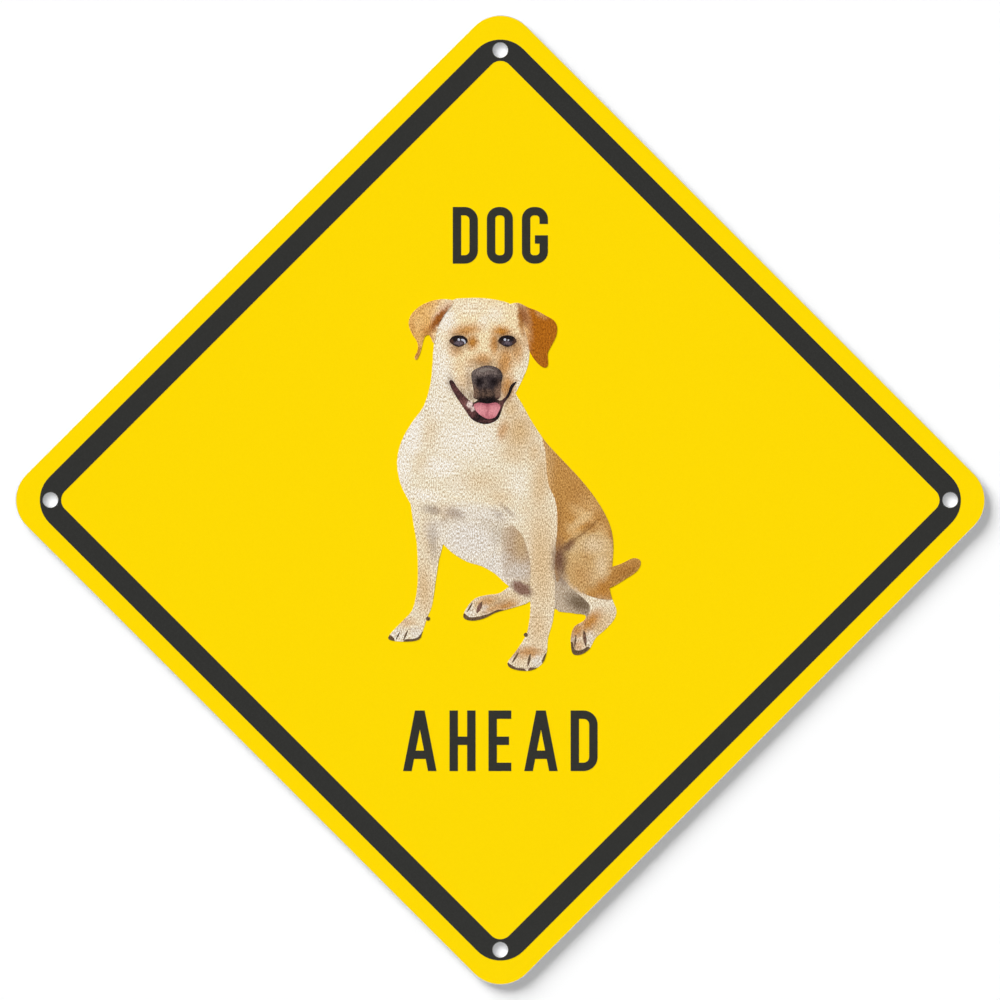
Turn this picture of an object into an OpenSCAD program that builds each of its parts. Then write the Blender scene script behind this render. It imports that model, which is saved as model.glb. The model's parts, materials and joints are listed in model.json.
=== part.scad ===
// Diamond warning sign with a printed sitting dog.
// The sign hangs as it is seen on a wall or a post: face towards -Y, +Z up.
// The origin is the centre of the back face, in the middle of the four holes.

/* [Panel] */
// Side of the square blank, which stands on one corner
side = 304.8; // [260:0.2:460]
// Thickness of the aluminium blank
panel_t = 1.6; // [0.8:0.1:3.2]
// Radius of the blank's corners
corner_r = 16; // [10:0.5:24]
// Width of the eased edge, front and back
edge_ease = 0.2; // [0.1:0.05:0.4]

/* [Holes] */
// Diameter of the punched holes
hole_d = 6.5; // [4:0.25:7.5]
// Distance of each hole's centre from the two sides of its corner
hole_inset = 15.3; // [14:0.1:20]

/* [Face] */
// Thickness of the yellow film
film_t = 0.2; // [0.1:0.05:0.4]
// How far the film and its ink stand back from the edge of each punched hole
film_setback = 0.2; // [0.2:0.05:0.5]
// Thickness of one layer of ink
ink_t = 0.1; // [0.05:0.05:0.2]
// Width of the black stripe along the sides
stripe_w = 9; // [8:0.5:12]
// Radius of the stripe's outer corners
stripe_outer_r = 14; // [10:0.5:18]
// Radius of the stripe's inner corners
stripe_inner_r = 5.4; // [2:0.2:9]

/* [Dog] */
// Height of the printed dog, from its lowest paw to the top of its head
dog_h = 160; // [120:1:180]
// Distance of the dog's lowest paw below the sign's centre
dog_drop = 73.5; // [60:0.5:85]
// Width of the lines between the toes
toe_line_w = 1; // [0.6:0.1:1.6]

/* [Hidden] */
$fn = 96;

// A corner's arc falls short of its square corner by this share of its radius, along each side.
arc_fall = 1 - 1 / sqrt(2);
// The stripe lies on the holes: at each corner its middle passes through the hole's centre.
stripe_margin = hole_inset - stripe_w / 2 - arc_fall * (stripe_outer_r + stripe_inner_r) / 2;
hole_at = side / 2 - hole_inset;

// The dog is drawn in millimetres for a height of 160, and follows dog_h.
dog_k = dog_h / 160;
// Steps of the drawn curve between two of its points
curve_steps = 3;

// A smooth closed curve through the given points (Catmull-Rom)
function span(a, b, c, d, t) =
    b + (c - a) * t / 2 + (2 * a - 5 * b + 4 * c - d) * t * t / 2
    + (3 * b - a - 3 * c + d) * t * t * t / 2;
function curve(p) =
    let (n = len(p))
    [
        for (i = [0 : n - 1])
            for (j = [0 : curve_steps - 1])
                span(p[(i + n - 1) % n], p[i], p[(i + 1) % n], p[(i + 2) % n], j / curve_steps) * dog_k
    ];
module field(points) {
    polygon(curve(points));
}

module rounded_square(s, r) {
    square([s, s - 2 * r], center = true);
    square([s - 2 * r, s], center = true);
    for (x = [-1, 1], y = [-1, 1])
        translate([x, y] * (s / 2 - r)) circle(r);
}

module at_holes() {
    for (a = [0 : 90 : 270])
        rotate(a) translate([hole_at, hole_at]) children();
}

// Turns what is drawn flat to stand on one corner, face towards -Y, on the layer below it.
module on_corner(depth) {
    translate([0, -depth, 0]) rotate([90, 0, 0]) rotate(45) children();
}
module printed(layer) {
    depth = panel_t + film_t + (layer - 1) * ink_t;
    translate([0, -depth, -dog_drop]) rotate([90, 0, 0]) linear_extrude(ink_t) children();
}

// The blank: sheared and rounded sheet, both edges eased, holes punched at the corners
module blank() {
    half = side / 2;
    edge = [[edge_ease, 0], [0, edge_ease], [0, panel_t - edge_ease], [edge_ease, panel_t]];
    section = concat([for (e = edge) [half - e.x, e.y]], [for (i = [3 : -1 : 0]) [edge[i].x - half, edge[i].y]]);
    for (a = [0, 90])
        rotate([90, 0, a]) linear_extrude(side - 2 * corner_r, center = true) polygon(section);
    corner = concat([[0, 0]], [for (e = edge) [corner_r - e.x, e.y]], [[0, panel_t]]);
    for (x = [-1, 1], y = [-1, 1])
        translate([x * (half - corner_r), y * (half - corner_r), 0]) rotate_extrude() polygon(corner);
}
module sign_panel() {
    color("silver") on_corner(0) difference() {
        blank();
        at_holes() translate([0, 0, -1]) cylinder(d = hole_d, h = panel_t + 2);
    }
}

// Yellow film over the whole face, up to the eased edge and cut clear of the holes
module face_film() {
    color("#FEDA00") on_corner(panel_t) linear_extrude(film_t) difference() {
        rounded_square(side - 2 * edge_ease, corner_r - edge_ease);
        at_holes() circle(d = hole_d + 2 * film_setback);
    }
}

module border_stripe() {
    outer = side - 2 * stripe_margin;
    color("#323230") on_corner(panel_t + film_t) linear_extrude(ink_t) difference() {
        rounded_square(outer, stripe_outer_r);
        rounded_square(outer - 2 * stripe_w, stripe_inner_r);
        at_holes() circle(d = hole_d + 2 * film_setback);
    }
}

// Outlines of the sitting dog, seen from its front left; every list runs anticlockwise.
module head() {
    field([[-21, 159.5], [-25, 153], [-28, 143.5], [-29, 133], [-26, 121.5], [-20, 114], [-14, 109],
        [-7.5, 106], [-1.5, 107], [3, 112.5], [6.5, 119.5], [9.5, 125.5], [12, 132], [12.5, 139],
        [11.5, 146], [9, 152.5], [5, 157.5], [-0.5, 159.5], [-7.5, 160.5], [-14, 160.5]]);
}
module left_ear() {
    field([[-20, 159], [-26, 160], [-33, 158], [-38, 154], [-39.5, 149.5], [-38, 145], [-36, 142],
        [-35.5, 138.5], [-37, 135], [-36, 134], [-34.5, 137], [-33.5, 141], [-32.5, 144], [-30.5, 144.5],
        [-28.5, 141], [-27, 147.5], [-24, 153.5]]);
}
module right_ear() {
    field([[3.5, 157.5], [5.5, 156], [8.5, 151.5], [11, 145.5], [12, 141], [12.5, 138], [14, 135],
        [16.5, 132], [19, 130.5], [20.5, 131.5], [20.5, 134], [20.5, 137], [22, 140], [24, 144],
        [24.5, 148], [23, 151], [19.5, 153], [16, 155], [12, 156.5], [7.5, 158.5]]);
}
module trunk() {
    field([[-20, 150], [-27, 143], [-29, 134], [-30, 124], [-33, 114], [-38, 107], [-42.5, 99],
        [-44.5, 90], [-43, 80.5], [-39, 72.5], [-34, 64], [-26.5, 56.5], [-21, 51], [-14.5, 47], [-8, 45],
        [-2, 41.5], [3.5, 36.5], [13, 31], [24, 26.5], [37, 24.5], [45, 31], [47.5, 40], [48.5, 49],
        [48.5, 57], [46.5, 64.5], [41.5, 73.5], [34.5, 82.5], [27, 90.5], [20, 98], [15, 105], [12, 110],
        [9, 115.5], [6.5, 119.5], [3, 128]]);
}
module far_foreleg() {
    field([[-38, 76], [-37.5, 64], [-36, 55], [-35.5, 43], [-36, 34], [-38, 26], [-42.5, 21], [-48, 15],
        [-47, 13], [-40, 12.5], [-35, 13.5], [-33.5, 17], [-31.5, 23], [-29.5, 28], [-28, 38], [-26.5, 48],
        [-25, 60]]);
}
module near_foreleg() {
    field([[4, 66], [9, 59], [12, 51], [13, 43], [12.5, 36], [13, 28], [12.5, 21.5], [11, 15], [6.5, 8],
        [3, 3], [6, 0.5], [13, 0], [18, 3], [20, 8], [20.5, 14], [22.5, 21], [23.5, 30], [23.5, 42],
        [24, 54], [24, 68], [16, 78]]);
}
module hind_leg() {
    field([[30, 40], [24, 27], [30, 25], [36.5, 24], [36, 21.5], [32, 19], [30.5, 15], [30.5, 10],
        [31.5, 7], [35, 7], [38.5, 9.5], [41, 14], [45, 17.5], [49, 22], [50, 26], [48.5, 30], [47, 36],
        [47.5, 46], [40, 50]]);
}
module far_hind_foot() {
    field([[7, 38], [0, 33.5], [-6, 32.5], [-11, 31], [-14.5, 27], [-16, 23], [-12.5, 21.5], [-7, 22.5],
        [-2, 25], [5, 27], [13, 30], [15, 36]]);
}
module tail() {
    field([[43, 35.5], [48, 36], [54, 39.5], [59, 43], [60.5, 47], [57.5, 48.5], [52, 46], [47.5, 44.5],
        [43, 43]]);
}
module dewclaws() {
    for (p = [[-31.2, 22.4], [11, 15.4]])
        translate(p * dog_k) circle(d = 1.8 * dog_k);
}
module outline() {
    head();
    left_ear();
    right_ear();
    trunk();
    far_foreleg();
    near_foreleg();
    hind_leg();
    far_hind_foot();
    tail();
    dewclaws();
}

// Golden fields
module face_tan() {
    // brows, each running down at the inner corner of its eye
    field([[-20.5, 145], [-16, 146], [-13, 144.5], [-12, 141], [-10.5, 141.5], [-10.5, 144.5],
        [-12.5, 147.5], [-16, 148], [-19, 147]]);
    field([[-3, 147], [-2.5, 143], [-2.5, 138.5], [-1, 138.5], [-1, 142], [0.5, 145], [3.5, 146],
        [5, 147], [2, 148.5], [-1, 148.5]]);
    // streaks below the eyes and bridge of the nose
    field([[-22, 139], [-20.5, 136.5], [-18, 133.5], [-17.5, 135.5], [-19, 138], [-20.5, 139.5]]);
    field([[-2.5, 137], [-1.5, 133.5], [0.5, 131], [1, 132.5], [0, 135], [-1, 137.5]]);
    field([[4.5, 139], [4.5, 135], [3, 132], [4.5, 132.5], [6, 135.5], [6.5, 138.5]]);
    field([[-9, 133.5], [-5.5, 132.5], [-3, 133.5], [-4, 135.5], [-6, 136.5], [-8.5, 135.5]]);
}
module back_and_flank() {
    field([[17, 106], [18, 100.5], [19.5, 94], [20, 86], [21, 79.5], [23.5, 74], [24.5, 68], [24.5, 60],
        [24, 51.5], [28, 53.5], [32.5, 58], [37, 59.5], [41.5, 59.5], [45, 57.5], [46.5, 53],
        [46.5, 47.5], [45.5, 42], [49, 41], [53, 48], [53, 62], [46, 78], [32, 94], [22, 104]]);
}
module leg_tan() {
    // haunch round its pale part, far hind foot, and the tops of the paws
    difference() {
        field([[25, 42.5], [28.5, 38], [33, 34.5], [39, 32], [46, 30.5], [50, 32], [51, 39], [49, 46],
            [47.5, 53], [45, 60], [38, 61], [31, 58.5], [25.5, 52.5]]);
        field([[37.5, 57], [36.5, 52], [37.5, 45], [40.5, 40.5], [44, 40], [46, 45], [46, 52],
            [44.5, 56.5], [41, 58.5]]);
    }
    difference() {
        field([[8, 38], [-1, 33], [-7, 33], [-8, 30], [-5, 26.5], [-1, 25], [6, 26.5], [14, 29.5]]);
        near_foreleg();
    }
    field([[6, 8.5], [11, 8], [16, 8.5], [20, 8], [19, 11], [14, 12], [9, 11.5]]);
    field([[-46.5, 17], [-42, 17.5], [-37, 18], [-37, 20], [-41.5, 21]]);
    field([[31, 15], [34, 15.5], [36.5, 17.5], [40, 18.5], [39, 21], [35, 20.5], [32, 18.5]]);
}
module tan_fields() {
    left_ear();
    right_ear();
    face_tan();
    back_and_flank();
    leg_tan();
    tail();
}

// White fields: chest and belly, sides of the muzzle, the hock, and the toes
module white_fields() {
    field([[-36.5, 77], [-36.5, 72.5], [-33.5, 66.5], [-28.5, 61.5], [-25.5, 57], [-22, 52], [-17, 48.5],
        [-9.5, 46], [-4, 45], [-3, 49.5], [-2.5, 55], [-3.5, 60.5], [-1, 63], [-1.5, 66.5], [1.5, 69],
        [-2, 71.5], [-9.5, 73], [-19, 74.5], [-29.5, 75.5]]);
    field([[-20, 124], [-17, 119], [-14, 117], [-13, 119.5], [-15.5, 122]]);
    field([[1, 120], [2.5, 118], [4, 121], [2, 123]]);
    field([[39, 29.5], [42, 26.5], [45.5, 25.5], [48.5, 26.5], [47, 28.5], [42.5, 30]]);
    field([[-46, 14.5], [-40, 13.5], [-35.5, 14.5], [-36, 17], [-41, 17], [-44.5, 16.5]]);
    field([[4.5, 3], [8, 1.5], [14, 1.5], [18, 4.5], [17.5, 7.5], [12, 7.5], [7, 7]]);
    field([[31.5, 8.5], [35, 8], [38, 10.5], [39, 14], [36, 15.5], [32.5, 13.5]]);
    field([[-15, 23.5], [-12, 22.5], [-8, 23.5], [-7.5, 27], [-10, 29.5], [-13, 27.5]]);
}

// Grey-brown fields: hollows of the chest, inner side of the far foreleg,
// the belly beside the near foreleg and the inner thigh behind it
module shade_fields() {
    field([[-33, 71], [-29.5, 67.5], [-25, 65], [-21, 62], [-18.5, 64.5], [-19, 69], [-23, 72], [-28, 72]]);
    field([[-32, 63], [-31.5, 56], [-30, 48], [-29.5, 40], [-29.5, 31], [-27, 36], [-25, 46], [-24.5, 57],
        [-28, 61.5]]);
    difference() {
        union() {
            field([[0.5, 60.5], [0.5, 55], [0, 49], [1, 44], [1.5, 40.5], [3.5, 36.5], [8, 32.5],
                [14, 30.5], [15, 38], [15, 46], [14, 54], [11, 60], [6, 62.5], [3, 62]]);
            field([[21, 50], [21, 38], [22, 27], [25, 24], [31, 23], [37, 23], [38.5, 27.5], [36.5, 30.5],
                [33, 33.5], [29.5, 36.5], [27.5, 40.5], [28.5, 47.5], [30, 53], [26, 54]]);
        }
        near_foreleg();
    }
}

// Dark fields: eyes, nose, open mouth, dewclaws, and the lines between and under the toes
module eye(x, z) {
    translate([x, z] * dog_k)
        field([[-4, 0], [-2.5, -1.5], [0, -2.5], [2.5, -1.5], [4, 0], [2.5, 2], [0, 2.5], [-2.5, 2]]);
}
module nose() {
    field([[-9.5, 130.5], [-12, 129], [-12.5, 126.5], [-12, 123.5], [-11.5, 120], [-11.5, 117.5],
        [-8.5, 116.5], [-5.5, 117], [-2, 116.5], [0, 118], [0, 121], [0.5, 124.5], [1, 127],
        [0, 129.5], [-2.5, 131], [-6, 131.5]]);
}
module mouth() {
    field([[-22, 124.5], [-20.5, 120.5], [-18, 116.5], [-15, 112], [-12.5, 108.5], [-8.5, 106.5],
        [-4.5, 106.5], [-1, 108.5], [0.5, 112], [1.5, 115], [4, 118.5], [5.5, 122], [7, 124.5],
        [4.5, 123], [3, 119], [0.5, 116.5], [-2, 117], [-5.5, 117.5], [-9, 117], [-12, 115.5],
        [-15.5, 118.5], [-18.5, 122], [-20.5, 125]]);
}
module toe_line(a, b, wide = 1) {
    n = [a.y - b.y, b.x - a.x] / norm(b - a) * toe_line_w * wide / 2;
    field([a, (a + b) / 2 - n, b, (a + b) / 2 + n]);
}
module toe_lines() {
    // near forefoot
    toe_line([13, 7.5], [11.8, 1.5], 1.2);
    toe_line([8, 8], [5, 3.2], 0.9);
    // far forefoot
    toe_line([-39.8, 17.5], [-41.8, 13], 0.9);
    toe_line([-43.2, 16.8], [-45, 13.4], 0.7);
    // near hind foot
    toe_line([36, 17.5], [36.9, 10.2], 1.6);
    toe_line([32.6, 15.5], [32, 9.5], 0.8);
    // far hind foot
    toe_line([-7.9, 29.8], [-10.2, 24.6], 1.9);
    toe_line([-12, 29.2], [-14.4, 25], 0.8);
}
// Claws and pads under the feet. They are drawn past the coat's edge, which cuts them off.
module soles() {
    field([[2.5, 3.8], [4, 0.8], [8, -1], [11, -1], [10.5, 0.8], [7, 1.2], [4.6, 2.6]]);
    field([[12.2, -1], [16, -0.5], [17.5, 1.2], [15, 1.3], [12.4, 1.1]]);
    field([[17.9, 3.2], [19.5, 3.8], [21, 7], [19.5, 7.4], [18.4, 5.4]]);
    field([[-41.5, 11.5], [-36, 11.5], [-32.5, 14], [-32, 18.5], [-33.9, 16.4], [-35.4, 14.4],
        [-37.5, 13.6], [-41, 13.4]]);
    field([[-49.5, 13.5], [-47, 12], [-45.6, 13], [-46.4, 14.6], [-48.5, 15.5]]);
    field([[29.5, 12], [29.5, 8], [31, 6], [35.5, 6], [39, 8.6], [37.8, 10.4], [35.5, 9], [33, 8.7],
        [31.8, 9.8], [31.2, 12]]);
    field([[-17, 24], [-15.5, 21], [-11, 20.5], [-6, 21.5], [-1, 24], [3, 25.8], [-1, 26.2],
        [-4, 24.9], [-7.5, 23.7], [-10.5, 23.1], [-13.5, 23.1], [-15.4, 24.6]]);
}
module dark_fields() {
    eye(-18, 142);
    eye(3, 142);
    nose();
    mouth();
    dewclaws();
    toe_lines();
    soles();
}

// Deep brown fields: folds of the ears, hollow of the thigh, crease of the flank, under the tail
module brown_fields() {
    field([[-21, 158], [-24, 157.5], [-27.5, 153], [-30, 150], [-32, 147], [-34, 145], [-31, 144.5],
        [-28.5, 147.5], [-25, 152], [-22, 156]]);
    field([[8.5, 153], [11.5, 147], [12.5, 141.5], [14.5, 136], [18, 133], [19, 137], [17, 141],
        [14.5, 146], [12, 152], [10, 155]]);
    field([[20.5, 90], [20.5, 84], [22, 77], [24.5, 72], [24.5, 60], [26, 68], [25, 76], [22.5, 84],
        [21.5, 91]]);
    field([[24, 51.5], [28.5, 54], [33, 57.3], [38, 61], [42, 65.5], [38.5, 63.8], [33, 60], [28, 56.5]]);
    field([[42.5, 38], [44, 34], [46.5, 31.5], [49, 33], [48, 38.5], [45, 39.5]]);
    field([[50, 39], [53, 40.5], [57, 43], [58.5, 45.5], [54, 43.5], [50, 41]]);
    field([[3, 39.5], [5, 36.5], [8.5, 33.5], [13, 31.5], [13, 36.5], [7.5, 39.5]]);
    field([[24, 51], [23.5, 44], [24.5, 38], [26, 40.5], [27.5, 45], [29.5, 51], [27.5, 53]]);
}
module tongue() {
    field([[-11.5, 114.5], [-10.5, 112], [-8.5, 110], [-5.5, 108.5], [-2.5, 109], [-1, 111], [0, 114],
        [-2, 115.5], [-5.5, 115], [-9, 115.5]]);
}

// The inks, in the order they are printed. The coat carries the rest; where two fields
// of the second ink meet, the darker keeps its whole shape.
module dog_coat() {
    color("#EAD4AA") printed(1) outline();
}
module dog_dark() {
    color("#2F2B2C") printed(2) intersection() {
        dark_fields();
        outline();
    }
}
module dog_tan() {
    color("#CE9440") printed(2) intersection() {
        outline();
        difference() {
            tan_fields();
            dark_fields();
        }
    }
}
module dog_shade() {
    color("#B8A58F") printed(2) intersection() {
        outline();
        difference() {
            shade_fields();
            tan_fields();
            dark_fields();
        }
    }
}
module dog_white() {
    color("#F4EDE0") printed(2) intersection() {
        outline();
        difference() {
            white_fields();
            shade_fields();
            tan_fields();
            dark_fields();
        }
    }
}
module dog_brown() {
    color("#A2642A") printed(3) intersection() {
        brown_fields();
        outline();
        union() {
            tan_fields();
            shade_fields();
        }
    }
}
module dog_tongue() {
    color("#E0788C") printed(3) tongue();
}
module dog_glints() {
    color("white") printed(3) {
        // window light in the eyes, and the sheen along the top of the nose
        for (p = [[-17.9, 142.6], [2, 142.6]])
            translate(p * dog_k) circle(d = 1.1 * dog_k);
        field([[-16.9, 142.5], [-15.8, 141.8], [-15.3, 140.9], [-14.9, 141.2], [-15.3, 142.4], [-16.4, 143]]);
        translate([3.5, 142.4] * dog_k) circle(d = 0.7 * dog_k);
        field([[-9.5, 129], [-7.5, 128.5], [-5, 129.5], [-2.5, 129], [-4, 130.2], [-7.5, 130.2]]);
    }
}

sign_panel();
face_film();
border_stripe();
dog_coat();
dog_dark();
dog_tan();
dog_shade();
dog_white();
dog_brown();
dog_tongue();
dog_glints();
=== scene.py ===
import json
import math

import bmesh
import bpy
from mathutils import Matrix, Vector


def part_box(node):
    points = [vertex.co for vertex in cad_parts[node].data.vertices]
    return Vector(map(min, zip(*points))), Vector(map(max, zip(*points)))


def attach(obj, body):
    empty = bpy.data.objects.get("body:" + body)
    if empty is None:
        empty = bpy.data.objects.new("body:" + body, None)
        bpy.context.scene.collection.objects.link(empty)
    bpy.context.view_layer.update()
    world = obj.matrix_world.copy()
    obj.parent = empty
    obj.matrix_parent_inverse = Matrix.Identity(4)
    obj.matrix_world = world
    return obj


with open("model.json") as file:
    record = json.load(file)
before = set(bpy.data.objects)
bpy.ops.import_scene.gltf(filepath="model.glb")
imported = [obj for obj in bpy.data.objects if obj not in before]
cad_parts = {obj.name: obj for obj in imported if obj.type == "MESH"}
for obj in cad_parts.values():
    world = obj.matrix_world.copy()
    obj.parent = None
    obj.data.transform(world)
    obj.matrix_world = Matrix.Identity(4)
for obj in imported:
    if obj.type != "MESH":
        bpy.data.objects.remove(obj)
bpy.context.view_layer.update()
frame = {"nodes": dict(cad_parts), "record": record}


# The blank
# A square of rolled aluminium sheet, sheared, rounded at its corners and punched. It carries
# the film on its face and hangs by the four punched holes; its back and edges are left bare.
MM = 0.001


def linear(hex_colour):
    """An sRGB hex colour as linear red, green, blue and alpha."""
    parts = [int(hex_colour[i:i + 2], 16) / 255 for i in (1, 3, 5)]
    return (*[v / 12.92 if v <= 0.04045 else ((v + 0.055) / 1.055) ** 2.4 for v in parts], 1.0)


def node(tree, kind, settings=None, inputs=None):
    """Adds a shader node. Each input is a value, or the output of another node, which is linked."""
    made = tree.nodes.new("ShaderNode" + kind)
    for name, value in (settings or {}).items():
        setattr(made, name, value)
    for name, value in (inputs or {}).items():
        if isinstance(value, bpy.types.NodeSocket):
            tree.links.new(value, made.inputs[name])
        else:
            made.inputs[name].default_value = value
    return made


def noise(tree, place, scale, detail, roughness=0.5):
    """Soft noise about 0.5. Scale is 1 over the size of its largest grain."""
    return node(tree, "TexNoise", inputs={
        "Vector": place, "Scale": scale, "Detail": detail, "Roughness": roughness})


def ranged(tree, value, low, high, start=0.0, end=1.0):
    """Start where the value is low, end where it is high, and a straight line between them."""
    return node(tree, "MapRange", inputs={
        "Value": value, "From Min": low, "From Max": high, "To Min": start, "To Max": end}).outputs[0]


def mixed(tree, share, colour, other):
    """One colour where the share is 0, and the other where it is 1."""
    return node(tree, "Mix", {"data_type": "RGBA"}, {0: share, 6: colour, 7: other}).outputs[2]


def bumped(tree, socket, height, strength, depth):
    """Makes a shader's normal follow a height."""
    bump = node(tree, "Bump", inputs={"Strength": strength, "Distance": depth, "Height": height})
    tree.links.new(bump.outputs[0], socket)


def finish_named(name, **sockets):
    """A new material with its own surface, whose shader's sockets have these values."""
    made = bpy.data.materials.new(name)
    made.use_nodes = True
    surface = made.node_tree.nodes["Principled BSDF"]
    for socket, value in sockets.items():
        surface.inputs[socket.replace("_", " ")].default_value = value
    return made, made.node_tree, surface


def dress(names, material):
    """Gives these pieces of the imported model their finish."""
    for name in names:
        for material_slot in frame["nodes"][name].material_slots:
            material_slot.material = material


# Mill-finish aluminium: silver grey, metallic, with faint lines along the rolling direction,
# about 0.5 mm apart and drawn 40 mm long, and broad soft bands where the sheet was handled.
# Its sheared edges and punched holes are darker and rougher than its faces.
MILL_GREY, MILL_PALE, SHEARED_GREY = "#B4B7B9", "#C9CBCC", "#83878A"
BRIGHT_ROUGHNESS, DULL_ROUGHNESS, SHEARED_ROUGHNESS = 0.3, 0.42, 0.6
ROLL_LINE, ROLL_RUN, HANDLED = 0.5 * MM, 40 * MM, 60 * MM
ROLLED_ALONG = math.radians(45)
GROOVE_STRENGTH, GROOVE_DEPTH = 0.12, 0.05 * MM
# Between the first value and the second, one tone or roughness passes into the other.
HANDLED_RANGE, FACE_RANGE = (0.35, 0.65), (0.2, 0.6)
mill, tree, surface = finish_named("mill_finish_aluminium", Metallic=1.0)
place = node(tree, "TexCoord").outputs["Object"]
rolled = node(tree, "Mapping", inputs={
    "Vector": place, "Rotation": (0, ROLLED_ALONG, 0), "Scale": (1 / ROLL_RUN, 1, 1 / ROLL_LINE)})
lines = noise(tree, rolled.outputs[0], 1.0, detail=3.0).outputs["Fac"]
bands = noise(tree, place, 1 / HANDLED, detail=3.0).outputs["Fac"]
tone = mixed(tree, lines, linear(MILL_GREY), linear(MILL_PALE))
rough = ranged(tree, bands, *HANDLED_RANGE, BRIGHT_ROUGHNESS, DULL_ROUGHNESS)
# How far a place faces the front or the back tells the sheet's faces from its cut edges.
facing = node(tree, "SeparateXYZ", inputs={0: node(tree, "TexCoord").outputs["Normal"]}).outputs["Y"]
flat = node(tree, "Math", {"operation": "ABSOLUTE"}, {0: facing})
rolled_face = ranged(tree, flat.outputs[0], *FACE_RANGE)
tree.links.new(mixed(tree, rolled_face, linear(SHEARED_GREY), tone), surface.inputs["Base Color"])
worn = node(tree, "Mix", {"data_type": "FLOAT"}, {0: rolled_face, 2: SHEARED_ROUGHNESS, 3: rough})
tree.links.new(worn.outputs[0], surface.inputs["Roughness"])
bumped(tree, surface.inputs["Normal"], lines, GROOVE_STRENGTH, GROOVE_DEPTH)
dress(["sign_panel"], mill)


# The yellow film
# Self-adhesive vinyl printed yellow all over, rolled onto the blank's face under a clear gloss
# laminate. It stops at the eased edge and is cut a little clear of the punched holes.
FILM_YELLOW, FILM_DEEP = "#FFDB00", "#FDD800"
LAMINATE = {
    "Roughness": 0.5, "Specular_IOR_Level": 0.0,
    "Coat_Weight": 1.0, "Coat_Roughness": 0.08, "Coat_IOR": 1.4}
RIPPLE, RIPPLE_STRENGTH, RIPPLE_DEPTH = 5 * MM, 0.04, 0.1 * MM
INK_GRAIN, GRAIN_RANGE, GRAIN_SHARE = 0.7 * MM, (0.4, 0.7), 0.6


def laminated(tree, surface, place):
    """The laminate's faint ripple, a few millimetres from crest to crest, on the print's gloss."""
    ripple = noise(tree, place, 1 / RIPPLE, detail=1.0).outputs["Fac"]
    bumped(tree, surface.inputs["Coat Normal"], ripple, RIPPLE_STRENGTH, RIPPLE_DEPTH)


def printed_ink(name, ink, deep):
    """A print under the laminate in one ink, with a grain of its own of 0.7 mm in a deeper tone."""
    made, tree, surface = finish_named(name, **LAMINATE)
    place = node(tree, "TexCoord").outputs["Object"]
    grain = noise(tree, place, 1 / INK_GRAIN, detail=2.0).outputs["Fac"]
    share = ranged(tree, grain, *GRAIN_RANGE, end=GRAIN_SHARE)
    tree.links.new(mixed(tree, share, linear(ink), linear(deep)), surface.inputs["Base Color"])
    laminated(tree, surface, place)
    return made


dress(["face_film"], printed_ink("yellow_vinyl", FILM_YELLOW, FILM_DEEP))


# The stripe
# A line of black ink along all four sides, printed on the film below the laminate. It runs
# through the four holes, and the ink is cut with the film there.
STRIPE_BLACK, STRIPE_WORN = "#323230", "#383836"
dress(["border_stripe"], printed_ink("stripe_black_ink", STRIPE_BLACK, STRIPE_WORN))


# The words
# Plain condensed capitals, as on road signs, in a black like the stripe's. Each letter is laid
# out flat with its lower left corner at the origin, given the ink's thickness, then set in line.
STROKE = 3.6 * MM
INK = 0.1 * MM
LETTER_BLACK, LETTER_SOFT = "#32322D", "#3A3A34"
ROUND_STEPS = 10
# Shares of a letter's width: how far its curves, the E's middle arm and the G's shelf reach.
CURVE, D_CURVE, E_MIDDLE, G_INWARD = 0.46, 0.52, 0.9, 0.5
# Shares of its height: the levels of the G's shelf, the end of its curve and the A's rung.
G_SHELF, G_BROW, A_RUNG = 0.5, 0.7, 0.2
# The width of the A's flat top, in strokes, and the narrow end of a gap that comes to a point.
A_TOP, POINT = 1.15, 0.01
# Closer than this, two places in a letter are one.
SAME = 0.001 * MM


def pick(wanted, kind="verts"):
    """Selects the open mesh's vertices, edges or faces that are wanted, and nothing else."""
    bpy.ops.mesh.select_mode(type={"verts": "VERT", "edges": "EDGE", "faces": "FACE"}[kind])
    bpy.ops.mesh.select_all(action="DESELECT")
    mesh = bmesh.from_edit_mesh(bpy.context.object.data)
    for part in getattr(mesh, kind):
        if wanted(part):
            part.select_set(True)
    mesh.select_flush(True)
    bmesh.update_edit_mesh(bpy.context.object.data)


def flat_patch(left, right, foot, top, taper=1.0):
    """A flat plate between these sides, seen from the face; taper is its top's share of its foot."""
    bpy.ops.object.select_all(action="DESELECT")
    bpy.ops.mesh.primitive_plane_add(size=1, location=(0, 0, 0))
    bpy.ops.object.mode_set(mode="EDIT")
    bpy.ops.transform.resize(value=(right - left, top - foot, 1))
    pick(lambda v: v.co.y > 0)
    bpy.ops.transform.resize(value=(taper, 1, 1))
    bpy.ops.mesh.select_all(action="SELECT")
    bpy.ops.transform.translate(value=((left + right) / 2, (foot + top) / 2, 0))
    return bpy.context.object


def inked(depth=INK, sink=0.0):
    """Gives the open flat shape the ink's thickness, and leaves edit mode."""
    bpy.ops.mesh.select_all(action="SELECT")
    bpy.ops.mesh.extrude_region_move(TRANSFORM_OT_translate={"value": (0, 0, depth)})
    bpy.ops.mesh.select_all(action="SELECT")
    bpy.ops.mesh.normals_make_consistent(inside=False)
    bpy.ops.transform.translate(value=(0, 0, -sink))
    bpy.ops.object.mode_set(mode="OBJECT")
    return bpy.context.object


def plate(left, right, foot, top, taper=1.0):
    """A plate of ink between these sides."""
    flat_patch(left, right, foot, top, taper)
    return inked()


def gap(left, right, foot, top, taper=1.0):
    """A block to cut with: it reaches as far above and below the ink as the ink is thick."""
    flat_patch(left, right, foot, top, taper)
    return inked(3 * INK, INK)


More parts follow.
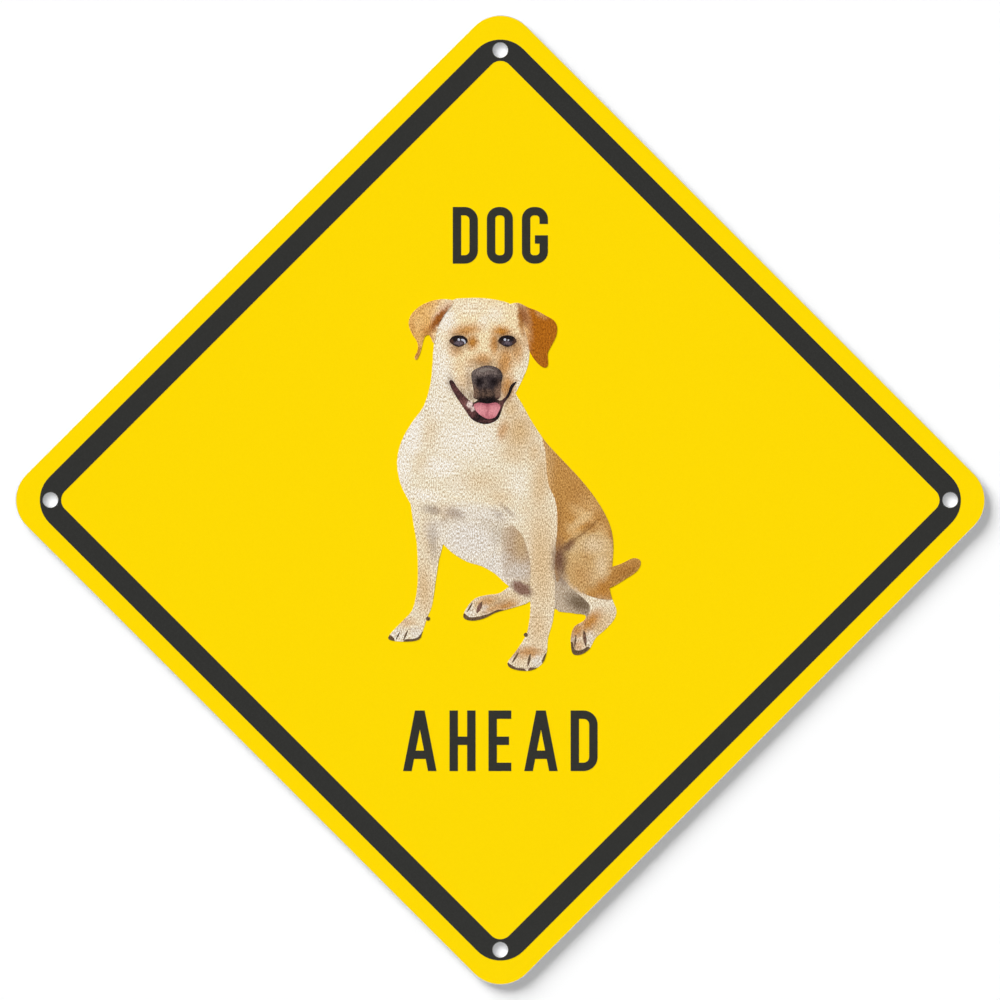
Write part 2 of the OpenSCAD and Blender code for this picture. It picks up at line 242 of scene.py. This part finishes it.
def cut(whole, gaps):
    """Cuts these blocks out of a plate of ink."""
    for block in gaps:
        bpy.ops.object.select_all(action="DESELECT")
        bpy.context.view_layer.objects.active = whole
        whole.select_set(True)
        bpy.ops.object.modifier_add(type="BOOLEAN")
        whole.modifiers[-1].operation = "DIFFERENCE"
        whole.modifiers[-1].solver = "EXACT"
        whole.modifiers[-1].object = block
        bpy.ops.object.modifier_apply(modifier=whole.modifiers[-1].name)
        bpy.data.objects.remove(block)
    return whole


def round_stroke(width, height, bend, square_left=False):
    """A closed stroke round a plate, as in an O. With square_left its left corners stay square."""
    flat_patch(0, width, 0, height)
    pick(lambda v: not square_left or v.co.x > width / 2)
    bpy.ops.mesh.bevel(offset=bend, segments=ROUND_STEPS, affect="VERTICES")
    bpy.ops.mesh.select_mode(type="FACE")
    bpy.ops.mesh.select_all(action="SELECT")
    bpy.ops.mesh.inset(thickness=STROKE, depth=0)
    bpy.ops.mesh.delete(type="FACE")


def letter_o(width, height):
    round_stroke(width, height, width * CURVE)
    return inked()


def letter_d(width, height):
    round_stroke(width, height, width * D_CURVE, square_left=True)
    return inked()


def letter_g(width, height):
    """An O that is opened on the right, with a shelf drawn inwards from the lower side of the gap."""
    round_stroke(width, height, width * CURVE)
    shelf, brow, inner = height * G_SHELF, height * G_BROW, width - STROKE
    for level in (shelf - STROKE, shelf, brow):
        bpy.ops.mesh.select_all(action="SELECT")
        bpy.ops.mesh.bisect(plane_co=(0, level, 0), plane_no=(0, 1, 0))

    def in_gap(face):
        middle = face.calc_center_median()
        return middle.x > width / 2 and shelf < middle.y < brow

    def below_gap(edge):
        return all(abs(v.co.x - inner) < SAME and shelf - STROKE - SAME < v.co.y < shelf + SAME
                   for v in edge.verts)

    pick(in_gap, "faces")
    bpy.ops.mesh.delete(type="FACE")
    pick(below_gap, "edges")
    bpy.ops.mesh.extrude_region_move(TRANSFORM_OT_translate={"value": (width * G_INWARD - inner, 0, 0)})
    return inked()


def letter_h(width, height):
    """A plate with a gap above its rung and one below it."""
    rung = (height - STROKE) / 2
    return cut(plate(0, width, 0, height), [
        gap(STROKE, width - STROKE, -STROKE, rung),
        gap(STROKE, width - STROKE, rung + STROKE, height + STROKE)])


def letter_e(width, height):
    """A plate with two gaps between its arms, and the end of its middle arm cut short."""
    arm, past = (height - STROKE) / 2, width + STROKE
    return cut(plate(0, width, 0, height), [
        gap(STROKE, past, STROKE, arm),
        gap(STROKE, past, arm + STROKE, height - STROKE),
        gap(width * E_MIDDLE, past, arm - STROKE / 2, arm + STROKE * 1.5)])


def letter_a(width, height):
    """Two leaning strokes that meet in a flat top, with a rung low down between them."""
    flat_top = STROKE * A_TOP
    lean = (width - flat_top) / 2 / height
    across = STROKE / math.cos(math.atan(lean))
    peak = (width / 2 - across) / lean
    rung = height * A_RUNG

    def opening(low, high):
        """The gap between the strokes from one level up to another."""
        half = width / 2 - across - low * lean
        taper = max((peak - high) / (peak - low), POINT)
        return gap(width / 2 - half, width / 2 + half, low, high, taper)

    outer = plate(0, width, 0, height, flat_top / width)
    return cut(outer, [opening(-INK, rung), opening(rung + STROKE, peak - INK)])


def word(name, letters, height, spacing, foot):
    """Sets drawn letters in a line centred on the sign, stands it up, and lays it on the film."""
    x = -(sum(width for _, width in letters) + spacing * (len(letters) - 1)) / 2
    drawn, set_letters = {}, []
    for draw, width in letters:
        if draw in drawn:
            letter = drawn[draw][0].copy()
            letter.data = letter.data.copy()
            bpy.context.collection.objects.link(letter)
            move = x - drawn[draw][1]
        else:
            letter, move = draw(width, height), x
            drawn[draw] = (letter, x)
        for vertex in letter.data.vertices:
            vertex.co.x += move
        set_letters.append(letter)
        x += width + spacing
    bpy.ops.object.select_all(action="DESELECT")
    for letter in set_letters:
        letter.select_set(True)
    bpy.context.view_layer.objects.active = set_letters[0]
    bpy.ops.object.join()
    made = bpy.context.object
    made.name = name
    made.rotation_euler = (math.pi / 2, 0, 0)
    made.location = (0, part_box("face_film")[0].y, foot)
    bpy.ops.object.transform_apply(location=True, rotation=True, scale=True)
    made.data.materials.clear()
    made.data.materials.append(letter_black)
    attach(made, "root")


letter_black = printed_ink("letter_black_ink", LETTER_BLACK, LETTER_SOFT)
word("word_above_dog", [(letter_d, 10.8 * MM), (letter_o, 11.2 * MM), (letter_g, 11.2 * MM)],
     height=24.4 * MM, spacing=3.9 * MM, foot=101.9 * MM)
word("word_below_dog", [
    (letter_a, 14.4 * MM), (letter_h, 11.2 * MM), (letter_e, 9.8 * MM), (letter_a, 14.4 * MM),
    (letter_d, 11.6 * MM)], height=26.1 * MM, spacing=5.6 * MM, foot=-116.8 * MM)


# The dog's coat
# A sitting dog in cream, golden, grey-brown and white inks, shaded as with an airbrush. One
# shaded print runs over all its fields, so that their edges melt into each other like fur.
FUR_TUFT, FUR_DRIFT = 1.6 * MM, 3.2 * MM
HAIR_WIDTH, HAIR_LENGTH, HAIR_RANGE = 0.42 * MM, 1.0 * MM, (0.39, 0.61)
# What each hair does to the ink below it: darker and warmer, or lighter and cooler.
FUR_HAIRS = (0.56, 0.46, 0.33, 1.0), (1.44, 1.53, 1.61, 1.0)
SKIN_GRAIN = (0.8, 0.78, 0.8, 1.0), (1.18, 1.2, 1.18, 1.0)
DARK_GRAIN = (0.4, 0.36, 0.36, 1.0), (1.8, 1.7, 1.7, 1.0)
CREAM = "#EADBC2"
# Each ink is (colour, share of a spot that fades, spots), and each soft spot is
# (x, z, half width, half height, tilt, strength), in mm and degrees, from the sign's centre.
HEAD_CREAM = ("#F0D6AE", 0.35, [
    (-8, 72.5, 20, 25, 0, 1),
])
LIGHTS = ("#F7EDE0", 1.0, [
    (-24.5, 58, 5, 14.5, 4, 0.6), (-23.5, 77.5, 5, 7, 0, 0.85), (-14, 83, 9.5, 4, 0, 0.4),
    (-2.5, 80, 4.5, 4, 0, 0.5), (-38, 27.5, 5.5, 12, -14, 0.95), (-26, 14.5, 8.5, 4.5, 0, 0.85),
    (-16.5, 26.5, 17, 8.5, 0, 0.65), (-42, 15.5, 4, 10.5, 0, 0.75), (-33, 2, 7.5, 2.6, -10, 0.7),
    (-17.5, 7, 5, 5, 0, 0.4), (-13, 55, 3.5, 5, 20, 0.3), (-19, 38, 6, 5, 0, 0.3),
    (-27.5, 38, 4.5, 8, 0, 0.6), (-7, 77, 3, 4, 0, 0.5), (7, 6, 5, 7, 0, 0.35),
    (12.4, -21.6, 1.7, 9.5, 0, 0.45),
])
SANDS = ("#D1AF80", 1.0, [
    (8, 29.5, 8, 10.5, -8, 0.95), (5, 39, 4.5, 6, 0, 0.8), (6, 20.5, 7, 5, -10, 0.6),
    (14.5, 20.5, 4, 6, 0, 0.7), (17.5, 8.5, 4.5, 16.5, -6, 0.75), (17.5, -26, 7.5, 26, 1, 0.8),
    (16, -54, 6, 12, 0, 0.7), (-33, -38, 4.5, 13, 4, 0.8), (-31, -17, 5, 10.5, 0, 0.4),
    (-40, -52.5, 7, 4, -25, 0.5), (-8.5, 8, 11, 5, 0, 0.45), (0, 1.5, 7, 4, -12, 0.5),
    (-30, 29.5, 4, 8.5, -6, 0.4), (-34, 16.5, 3.5, 5, 0, 0.35), (-2, -44, 11.5, 4, 14, 0.9),
    (43, -54.5, 9.5, 5.5, 45, 0.85), (-23.5, -5, 4.5, 3.5, -20, 0.6), (12, -3.5, 4.5, 6, 0, 0.3),
    (46.5, -50, 3.5, 4.5, 0, 0.4), (9, -69, 5.5, 4, 0, 0.5),
])
WHITES = ("#E0D7CE", 0.8, [
    (-10.5, -6, 17, 4.5, -6, 0.7), (-13, -17, 14.5, 10.5, -22, 0.95), (-2, -28.5, 11, 8, -28, 0.85),
    (-27, -13, 5.5, 5.5, -25, 0.7), (-44, -57.5, 4, 2.6, 0, 0.5), (-36.5, -57, 3, 2.6, 0, 0.7),
    (16, -69.5, 3, 3, 0, 0.7), (33, -61, 2.2, 4, 0, 0.3), (38.5, -59.5, 2.2, 3.5, 0, 0.6),
    (-13, -48, 2.6, 3, 0, 0.5), (-6.6, -46.5, 1.7, 2.6, 0, 0.7),
])
TANS = ("#BC8038", 0.9, [
    (-15, 73, 7, 2.8, 10, 0.85), (-12, 68, 2.6, 3.5, 0, 1), (-19, 64.5, 3.5, 3, 10, 0.6),
    (0.5, 72.5, 4.5, 2.6, -5, 1), (-2.5, 67.5, 2.2, 6, 0, 0.9), (2, 59.5, 4, 8.5, -8, 0.85),
    (7, 64.5, 3.5, 6, 0, 0.7), (11, 70, 2.2, 7, 0, 0.5), (-7.5, 60.5, 5, 3, 0, 0.75),
    (3, 49, 3.5, 6, -5, 0.9), (1, 30, 2.2, 4.5, -15, 0.6), (-12, 59.5, 3.5, 2.6, 0, 0.4),
    (-41.1, -53, 4.7, 1.7, 10, 0.25), (12, -65.5, 6.5, 2.6, 0, 0.8), (33, -56, 4.5, 3.5, 50, 0.9),
    (-6, -43.5, 4.5, 2.2, 20, 0.6), (38.5, -52.5, 7, 3, 45, 0.95), (2.5, -45.5, 6, 2.2, 14, 0.85),
    (-2.7, -47, 5.2, 1.7, 14, 0.6), (-16, 51, 3.5, 4.5, 0, 0.3), (33, -63, 3.5, 3, 0, 0.6),
    (8.9, 76.7, 7.8, 1.3, -80, 0.9), (-17.5, 57, 4.5, 3.5, 0, 0.2),
])
GREYS = ("#A6988C", 1.0, [
    (-30.5, -4, 4, 2.2, -15, 0.65), (-29, -18, 2.6, 9.5, 3, 0.6), (26.5, -42, 2.6, 14.5, 0, 0.8),
    (0, -14.5, 4.5, 6, 0, 0.45), (-4.5, -10.5, 6, 2.6, -12, 0.35), (-31, -12, 2.2, 8.5, 0, 0.2),
    (-21, 50, 2.2, 5, 15, 0.4), (-0.1, -44, 3.9, 1.7, 14, 0.3),
])
BROWNS = ("#6A4834", 1.0, [
    (-18, 68, 4.5, 3.5, 0, 0.75), (3, 68, 5, 3.5, 0, 0.85), (-27.7, -4.7, 3, 1.7, -30, 0.35),
    (-23.5, -8, 2.2, 3, -30, 0.3), (2.9, -4.3, 4.3, 0.9, -42, 0.5), (-7, 58, 6.5, 2.6, 0, 0.5),
    (-0.1, 50.9, 1.7, 6.9, 0, 0.65), (-13.5, 50.9, 1.7, 6.9, 0, 0.5), (-12.5, 45, 2.2, 3.5, 0, 0.6),
    (-20.8, 49.6, 1.7, 3.9, 15, 0.5), (-16, 45.5, 2.6, 4, 20, 0.5), (2.9, 44.4, 1.7, 4.3, -20, 0.4),
    (-8.7, -51.3, 6.9, 1.3, 12, 0.4), (-13.1, -43.1, 2.6, 1.3, 40, 0.3), (5.9, -65.5, 1.3, 3.9, -30, 0.4),
    (30.5, -60.3, 1.3, 4.3, 0, 0.4), (8.9, 77.6, 7.3, 0.9, -80, 0.35), (-19.5, -6, 4.5, 2.6, -20, 0.5),
    (-1, -6, 4.3, 1.5, -35, 0.3),
])
BELLY_DARK = ("#815E50", 0.6, [
    (9, -38, 5.5, 3, -30, 0.95),
])
# The back, the ears and the tail are golden, with a crisp edge along the shoulder.
BACK_GOLD = ("#BC8A4B", 0.1, [
    (34.5, 0, 34.5, 47.5, 20, 1), (54, -30, 15.5, 9.5, 20, 1),
])
LEFT_EAR_GOLD = ("#DEAA62", 0.3, [
    (-33, 74, 13.5, 19, 0, 1),
])
RIGHT_EAR_GOLD = ("#AB6419", 0.3, [
    (16, 71, 12, 20, 0, 1),
])
BACK_LIGHTS = ("#D8B27C", 1.0, [
    (35.5, -6, 6, 3, -40, 0.9), (31.5, -13.5, 4.5, 2.6, -45, 0.7), (42.5, -13.5, 3.5, 4, 0, 0.7),
    (38.5, -2, 7, 3.5, -40, 0.4),
])
BACK_DARKS = ("#A67236", 1.0, [
    (24.5, -11, 3, 11, 0, 0.6), (33.5, 2.5, 4.5, 5, 0, 0.35), (39.5, -11.2, 5.2, 1.7, -35, 0.6),
    (48.1, -21.6, 1.7, 8.6, 0, 0.8), (43.5, -7, 2.6, 3.5, 0, 0.4), (54, -31, 8, 2.6, 25, 0.85),
    (50.7, -34.5, 3.4, 1.7, 30, 0.5),
])
STREAK = ("#DDBB88", 0.8, [
    (34.8, -8.6, 6, 1.7, 38, 0.8),
])
EAR_LIGHTS = ("#E9BE84", 1.0, [
    (-35, 76.5, 4, 4.5, -20, 0.5), (-30.5, 81.5, 4.5, 2.2, 30, 0.5), (10.2, 71.5, 1.7, 3.9, 0, 0.8),
    (17.5, 80.2, 3, 1.7, -30, 0.4),
])
EAR_FOLDS = ("#A9641F", 0.9, [
    (-26.5, 78, 8.5, 2.2, 53, 0.95), (-36.3, 64.6, 1.7, 4.7, 12, 0.75), (-38.1, 73.3, 1.3, 5.2, 0, 0.3),
    (-31.5, 71.5, 2.2, 4, 20, 0.6), (13.2, 64.6, 1.7, 5.2, -20, 0.3), (17.5, 61, 3.5, 2.6, 0, 0.4),
])
EAR_DARK = ("#8A4A14", 0.8, [
    (10, 79.5, 5, 1.9, -70, 0.8), (-26, 78.4, 6.5, 1.3, 53, 0.7),
])
# The haunch is sand and gold, with a dark crease above it and a hollow before it.
HAUNCH = ("#CEAB77", 0.3, [
    (36.5, -27, 11.5, 13.5, -15, 1), (42, -22.5, 7, 9.5, 0, 1),
])
HAUNCH_LIGHTS = ("#DCC3A0", 1.0, [
    (40.5, -19.5, 5.5, 4, -10, 0.8), (43.5, -28.5, 3, 6, 0, 0.7), (41, -33, 4.5, 3.5, 0, 0.3),
    (32, -20.5, 3.5, 2.2, 30, 0.3),
])
HAUNCH_TANS = ("#B47C3A", 1.0, [
    (35, -33, 5.5, 8, 20, 0.5), (44.5, -38, 4.5, 4, 0, 1), (39.5, -39, 5, 2.2, -30, 0.6),
    (37, -25, 3.5, 3.5, 0, 0.35),
])
CREASE = ("#8A5F38", 0.9, [
    (36.9, -13.4, 6.9, 0.9, 42, 0.5), (30, -19, 5.2, 1.3, 40, 0.8),
])
HOLLOW = ("#704F3F", 0.9, [
    (25.5, -26, 3.5, 8, 0, 0.95), (28.5, -20.5, 3.5, 2.2, 40, 0.7), (27, -32.5, 2.2, 5, 0, 0.5),
])
# Behind the near foreleg the belly lies in shade, and so does the inner thigh.
GAP_GREY = ("#B9A086", 0.7, [
    (8.5, -21.5, 8.5, 19, 0, 1),
])
GAP_PALE = ("#CFC3B7", 1.0, [
    (7, -31, 6.5, 5, 0, 0.95), (0.5, -26, 3.5, 5, 0, 0.7),
])
GAP_TAN = ("#C4A374", 1.0, [
    (9, -19, 3, 7, 0, 0.6),
])
THIGH = ("#BDAA94", 0.2, [
    (30, -42, 13, 9.5, -25, 1),
])
THIGH_DARK = ("#75634F", 0.9, [
    (34.5, -44.5, 7, 4, -25, 1), (36.1, -47.8, 5.2, 1.7, -5, 0.6),
])
RIDGE = ("#D8C6B0", 0.9, [
    (28.3, -35.3, 1.7, 6, 30, 0.45), (34.4, -40.9, 6, 1.5, -40, 0.7), (44, -45, 5.5, 3.5, -10, 0.3),
])


def sprayed(tree, colour, place, ink, softness, spots):
    """Sprays soft oval spots of one ink on a colour. Softness is the share of each that fades."""
    cover = 0.0
    # A spot's stated size lies where it has faded to about a third of its strength.
    spread = 1 / (1 - 0.4 * softness) * MM
    for x, z, half_width, half_height, tilt, strength in spots:
        spot = node(tree, "Mapping", {"vector_type": "TEXTURE"}, {
            "Vector": place, "Location": (x * MM, 0, z * MM), "Rotation": (0, -math.radians(tilt), 0),
            "Scale": (half_width * spread, 1, half_height * spread)})
        out = node(tree, "TexGradient", {"gradient_type": "SPHERICAL"}, {"Vector": spot.outputs[0]})
        fade = node(tree, "MapRange", {"interpolation_type": "SMOOTHSTEP", "clamp": False}, {
            "Value": out.outputs["Fac"], "From Min": 0.0, "From Max": softness, "To Min": 0.0,
            "To Max": strength})
        cover = node(tree, "Math", {"operation": "MAXIMUM"}, {0: fade.outputs[0], 1: cover}).outputs[0]
    return mixed(tree, cover, colour, linear(ink))


def furred(tree, place):
    """The place shifted to and fro by up to a millimetre or so, which gives soft edges their tufts."""
    tufts = noise(tree, place, 1 / FUR_TUFT, detail=2.0, roughness=0.7).outputs["Color"]
    centred = node(tree, "VectorMath", {"operation": "SUBTRACT"}, {0: tufts, 1: (0.5, 0.5, 0.5)})
    return node(tree, "VectorMath", {"operation": "MULTIPLY_ADD"}, {
        0: centred.outputs[0], 1: (FUR_DRIFT, 0, FUR_DRIFT), 2: place}).outputs[0]


def shaded_print(name, base, layers, grain=FUR_HAIRS):
    """A print of many soft layers of ink, darkened and lightened hair by hair."""
    made, tree, surface = finish_named(name, **LAMINATE)
    place = node(tree, "TexCoord").outputs["Object"]
    tufted = furred(tree, place)
    colour = linear(base)
    for ink, softness, spots in layers:
        colour = sprayed(tree, colour, tufted, ink, softness, spots)
    brushed = node(tree, "Mapping", inputs={
        "Vector": place, "Scale": (1 / HAIR_WIDTH, 1, 1 / HAIR_LENGTH)})
    hairs = noise(tree, brushed.outputs[0], 1.0, detail=2.0, roughness=0.85).outputs["Fac"]
    shade = mixed(tree, ranged(tree, hairs, *HAIR_RANGE), *grain)
    colour = node(tree, "Mix", {"data_type": "RGBA", "blend_type": "MULTIPLY", "clamp_result": True}, {
        0: 1.0, 6: colour, 7: shade})
    tree.links.new(colour.outputs[2], surface.inputs["Base Color"])
    laminated(tree, surface, place)
    return made


head_and_chest = [HEAD_CREAM, LIGHTS, SANDS, WHITES, TANS, GREYS, BROWNS, BELLY_DARK]
golden = [BACK_GOLD, LEFT_EAR_GOLD, RIGHT_EAR_GOLD]
golden_shading = [BACK_LIGHTS, BACK_DARKS, STREAK, EAR_LIGHTS, EAR_FOLDS, EAR_DARK]
haunch = [HAUNCH, HAUNCH_LIGHTS, HAUNCH_TANS, RIDGE]
shaded = [GAP_GREY, GAP_PALE, GAP_TAN, THIGH, THIGH_DARK]
hollows = [CREASE, HOLLOW]
dress(["dog_coat", "dog_white"], shaded_print("coat_inks", CREAM, head_and_chest + haunch + hollows))
dress(["dog_tan", "dog_brown"], shaded_print(
    "golden_coat_inks", CREAM, golden + head_and_chest + golden_shading + haunch + hollows))
dress(["dog_shade"], shaded_print("shaded_coat_inks", CREAM, head_and_chest + shaded + hollows))


# The dog's eyes, nose, mouth and tongue
# Near-black ink for the eyes, nose, lips and the lines between the toes, with a sheen on the
# nose and a grey iris; pink for the tongue; and small highlights printed last.
INK_BLACK, GLINT = "#211C1D", "#BFC0CB"
NOSE_GREY = ("#3C3536", 0.7, [
    (-6.6, 52.6, 7.8, 6.9, 0, 0.8),
])
NOSE_SHEEN = ("#7E726B", 1.0, [
    (-7.9, 55.6, 5.6, 2.2, 6, 0.9), (-11.8, 51.7, 1.7, 3, 0, 0.5), (-2.7, 55.2, 3, 1.7, -25, 0.6),
    (-6.6, 50, 1.3, 2.2, 0, 0.3),
])
CHIN = ("#8A705C", 1.0, [
    (-11.3, 45.7, 2.2, 3.4, 0, 0.7), (-0.6, 46.5, 1.7, 4.3, 0, 0.7), (-6.2, 45.7, 3.4, 2.2, 0, 0.4),
])
LIPS = ("#7A504D", 1.0, [
    (-19.1, 47.4, 1.7, 3.9, 35, 0.5), (-15.2, 41.4, 2.6, 4.3, 35, 0.8), (-12.2, 37.5, 2.2, 2.2, 0, 0.6),
    (-0.1, 41.4, 2.2, 3.4, -20, 0.6), (-5.7, 34, 4.3, 0.9, 0, 0.4),
])
IRIS = ("#6A6069", 0.8, [
    (-17.6, 67.7, 2.2, 1.1, 0, 0.8), (3.1, 67.7, 2.2, 1.1, 0, 0.7),
])
EYE_RIM = ("#6B4C3C", 1.0, [
    (-21.2, 68.1, 1.3, 1.1, 0, 0.5), (-14.4, 66.6, 1.1, 1.3, 30, 0.5), (-0.6, 67.2, 1.3, 1.3, 0, 0.5),
    (6.3, 68.1, 0.9, 1.3, 0, 0.5),
])
TEETH = ("#E3CFC6", 0.7, [
    (-13.3, 41.2, 1.1, 1.7, 20, 0.9), (-12, 39.2, 0.9, 1.3, 20, 0.7),
])
NOSE_GLOW = ("#82766F", 0.3, [
    (-6.6, 54.3, 10.3, 6.9, 0, 1),
])
NOSTRILS = ("#1C1718", 0.9, [
    (-9.2, 50.9, 1.7, 1.7, 20, 1), (-2.5, 50.9, 1.9, 1.7, -10, 1), (-6.3, 47.4, 0.5, 3.4, 0, 0.8),
    (-5.7, 43.1, 6.9, 1.5, 0, 1),
])
TOES = ("#62503B", 0.3, [
    (-41.5, -58.5, 11, 6, 0, 1), (-8, -48.5, 11, 6, 0, 1), (11, -70, 12, 6, 0, 1),
    (35, -63, 9.5, 9.5, 0, 1), (-31, -51, 2.6, 2.6, 0, 1), (10.5, -58, 2.6, 2.6, 0, 1),
])
TOE_PINK = ("#8A625C", 1.0, [
    (-9.4, -46.5, 1.3, 2.6, -20, 0.6), (11.5, -72, 1.3, 1.7, 0, 0.5), (36.1, -59.9, 1.3, 3.4, 0, 0.3),
])
TONGUE_PINK = "#D5848B"
TONGUE_DARK = ("#9C4F5C", 1.0, [
    (-5.5, 38.4, 0.7, 3.4, 0, 0.6), (-5.7, 41.6, 6.9, 1.3, 0, 0.9), (-6.2, 35.3, 5.2, 1.1, 0, 0.5),
])
TONGUE_LIGHT = ("#E39BA2", 1.0, [
    (-8.7, 38.8, 2.6, 2.2, 0, 0.5), (-2.3, 38.8, 2.2, 2.2, 0, 0.5),
])
dress(["dog_dark"], shaded_print("dark_ink", INK_BLACK, [
    NOSE_GREY, NOSE_SHEEN, CHIN, LIPS, IRIS, EYE_RIM, TEETH, NOSTRILS, TOES, TOE_PINK], DARK_GRAIN))
dress(["dog_tongue"], shaded_print("pink_ink", TONGUE_PINK, [TONGUE_DARK, TONGUE_LIGHT], SKIN_GRAIN))
dress(["dog_glints"], shaded_print("highlight_ink", GLINT, [NOSE_GLOW], SKIN_GRAIN))


# The stage
# A white wall close behind the sign takes its soft shadow, and a white floor lies below, each
# painted on one side. One lamp and a pale sky stand for a large soft light, high on the left.
WALL_GAP, FLOOR_DROP, STAGE_SIZE = 2.6 * MM, 0.3, 8.0
PAINT, LIFT = "#FBFBFB", "#272727"
KEY, KEY_SPREAD, KEY_TILT, KEY_TURN = 3.6, math.radians(38), math.radians(52), math.radians(-48)
SKY, GLOSS_BELOW, GLOSS_ABOVE = 0.43, 0.55, 1.0
SCREEN, SCREEN_MIDDLE, SCREEN_RIM = 0.03, -0.97, -0.7
CAMERA_ASIDE, CAMERA_AWAY, PHOTO_WIDTH = 0.13 * MM, 2.0, 0.431
# Behind each hole a painted glow, seen only by the camera, makes the wall brightest towards the lower right,
# on the side away from the lamp.
HOLE_REACH = frame["record"]["mounts"][0]["dims"]["pcd_mm"] / 2
GLOW, GLOW_FADE, GLOW_ASIDE, GLOW_RADIUS = "#D0D0D0", 0.9, 1.2, 3
PAINTED_HOLE_GLOWS = [(x * HOLE_REACH + GLOW_ASIDE, z * HOLE_REACH - GLOW_ASIDE, GLOW_RADIUS, GLOW_RADIUS, 0, 1)
              for x, z in ((0, 1), (1, 0), (0, -1), (-1, 0))]


def stage_paint(name, painted_glows):
    """Paint that shows pure white in full light, still takes a shadow, is clear from behind, and carries any
    painted glows, seen only by the camera.
    """
    made, tree, surface = finish_named(name, Roughness=0.9, Specular_IOR_Level=0.0)
    surface.inputs["Base Color"].default_value = linear(PAINT)
    seen = node(tree, "LightPath").outputs["Is Camera Ray"]
    place = node(tree, "TexCoord").outputs["Object"]
    # The spots are painted light: a glow that only the camera sees and that lights nothing.
    lift = sprayed(tree, linear(LIFT), place, GLOW, GLOW_FADE, painted_glows)
    glow = node(tree, "Emission", inputs={"Color": lift, "Strength": seen})
    front = node(tree, "AddShader", inputs={0: surface.outputs[0], 1: glow.outputs[0]})
    behind = node(tree, "NewGeometry").outputs["Backfacing"]
    clear = node(tree, "BsdfTransparent")
    both = node(tree, "MixShader", inputs={0: behind, 1: front.outputs[0], 2: clear.outputs[0]})
    tree.links.new(both.outputs[0], tree.nodes["Material Output"].inputs["Surface"])
    return made


bpy.ops.object.select_all(action="DESELECT")
bpy.ops.mesh.primitive_plane_add(size=STAGE_SIZE, location=(0, WALL_GAP, 0), rotation=(math.pi / 2, 0, 0))
bpy.ops.object.transform_apply()
wall = bpy.context.object
wall.name = "wall"
# The wall carries the painted glows behind the holes.
wall.data.materials.append(stage_paint("wall_paint", PAINTED_HOLE_GLOWS))
wall.visible_shadow = wall.visible_diffuse = wall.visible_glossy = False
bpy.ops.mesh.primitive_plane_add(size=STAGE_SIZE, location=(0, 0, -FLOOR_DROP))
floor = bpy.context.object
floor.name = "floor"
floor.data.materials.append(stage_paint("floor_paint", []))
floor.visible_diffuse = False

world = bpy.data.worlds.new("studio")
bpy.context.scene.world = world
world.use_nodes = True
tree = world.node_tree
tree.nodes.clear()
light_path = node(tree, "LightPath").outputs
toward = node(tree, "SeparateXYZ", inputs={0: node(tree, "TexCoord").outputs["Generated"]}).outputs
# Gloss sees a dark screen where the camera stands, so that the yellow keeps its depth.
screen = node(tree, "MapRange", {"interpolation_type": "SMOOTHSTEP"}, {
    "Value": toward["Y"], "From Min": SCREEN_MIDDLE, "From Max": SCREEN_RIM, "To Min": SCREEN, "To Max": 1.0})
height = ranged(tree, toward["Z"], -1.0, 1.0, GLOSS_BELOW, GLOSS_ABOVE)
gloss = node(tree, "Math", {"operation": "MULTIPLY"}, {0: screen.outputs[0], 1: height})
sky, mirrored, white = [node(tree, "Background", inputs={"Color": (1, 1, 1, 1), "Strength": strength})
                        for strength in (SKY, gloss.outputs[0], 1.0)]
lit = node(tree, "MixShader", inputs={
    0: light_path["Is Glossy Ray"], 1: sky.outputs[0], 2: mirrored.outputs[0]})
seen = node(tree, "Math", {"operation": "MAXIMUM"}, {
    0: light_path["Is Camera Ray"], 1: light_path["Is Transmission Ray"]})
all_round = node(tree, "MixShader", inputs={0: seen.outputs[0], 1: lit.outputs[0], 2: white.outputs[0]})
tree.links.new(all_round.outputs[0], node(tree, "OutputWorld").inputs["Surface"])

bpy.ops.object.light_add(type="SUN", rotation=(KEY_TILT, 0, KEY_TURN))
key = bpy.context.object
key.name = "key_light"
key.data.energy = KEY
key.data.angle = KEY_SPREAD

bpy.ops.object.camera_add(location=(-CAMERA_ASIDE, -CAMERA_AWAY, 0), rotation=(math.pi / 2, 0, 0))
camera = bpy.context.object
camera.data.type = "ORTHO"
camera.data.ortho_scale = PHOTO_WIDTH
bpy.context.scene.camera = camera
bpy.context.scene.view_settings.view_transform = "Standard"
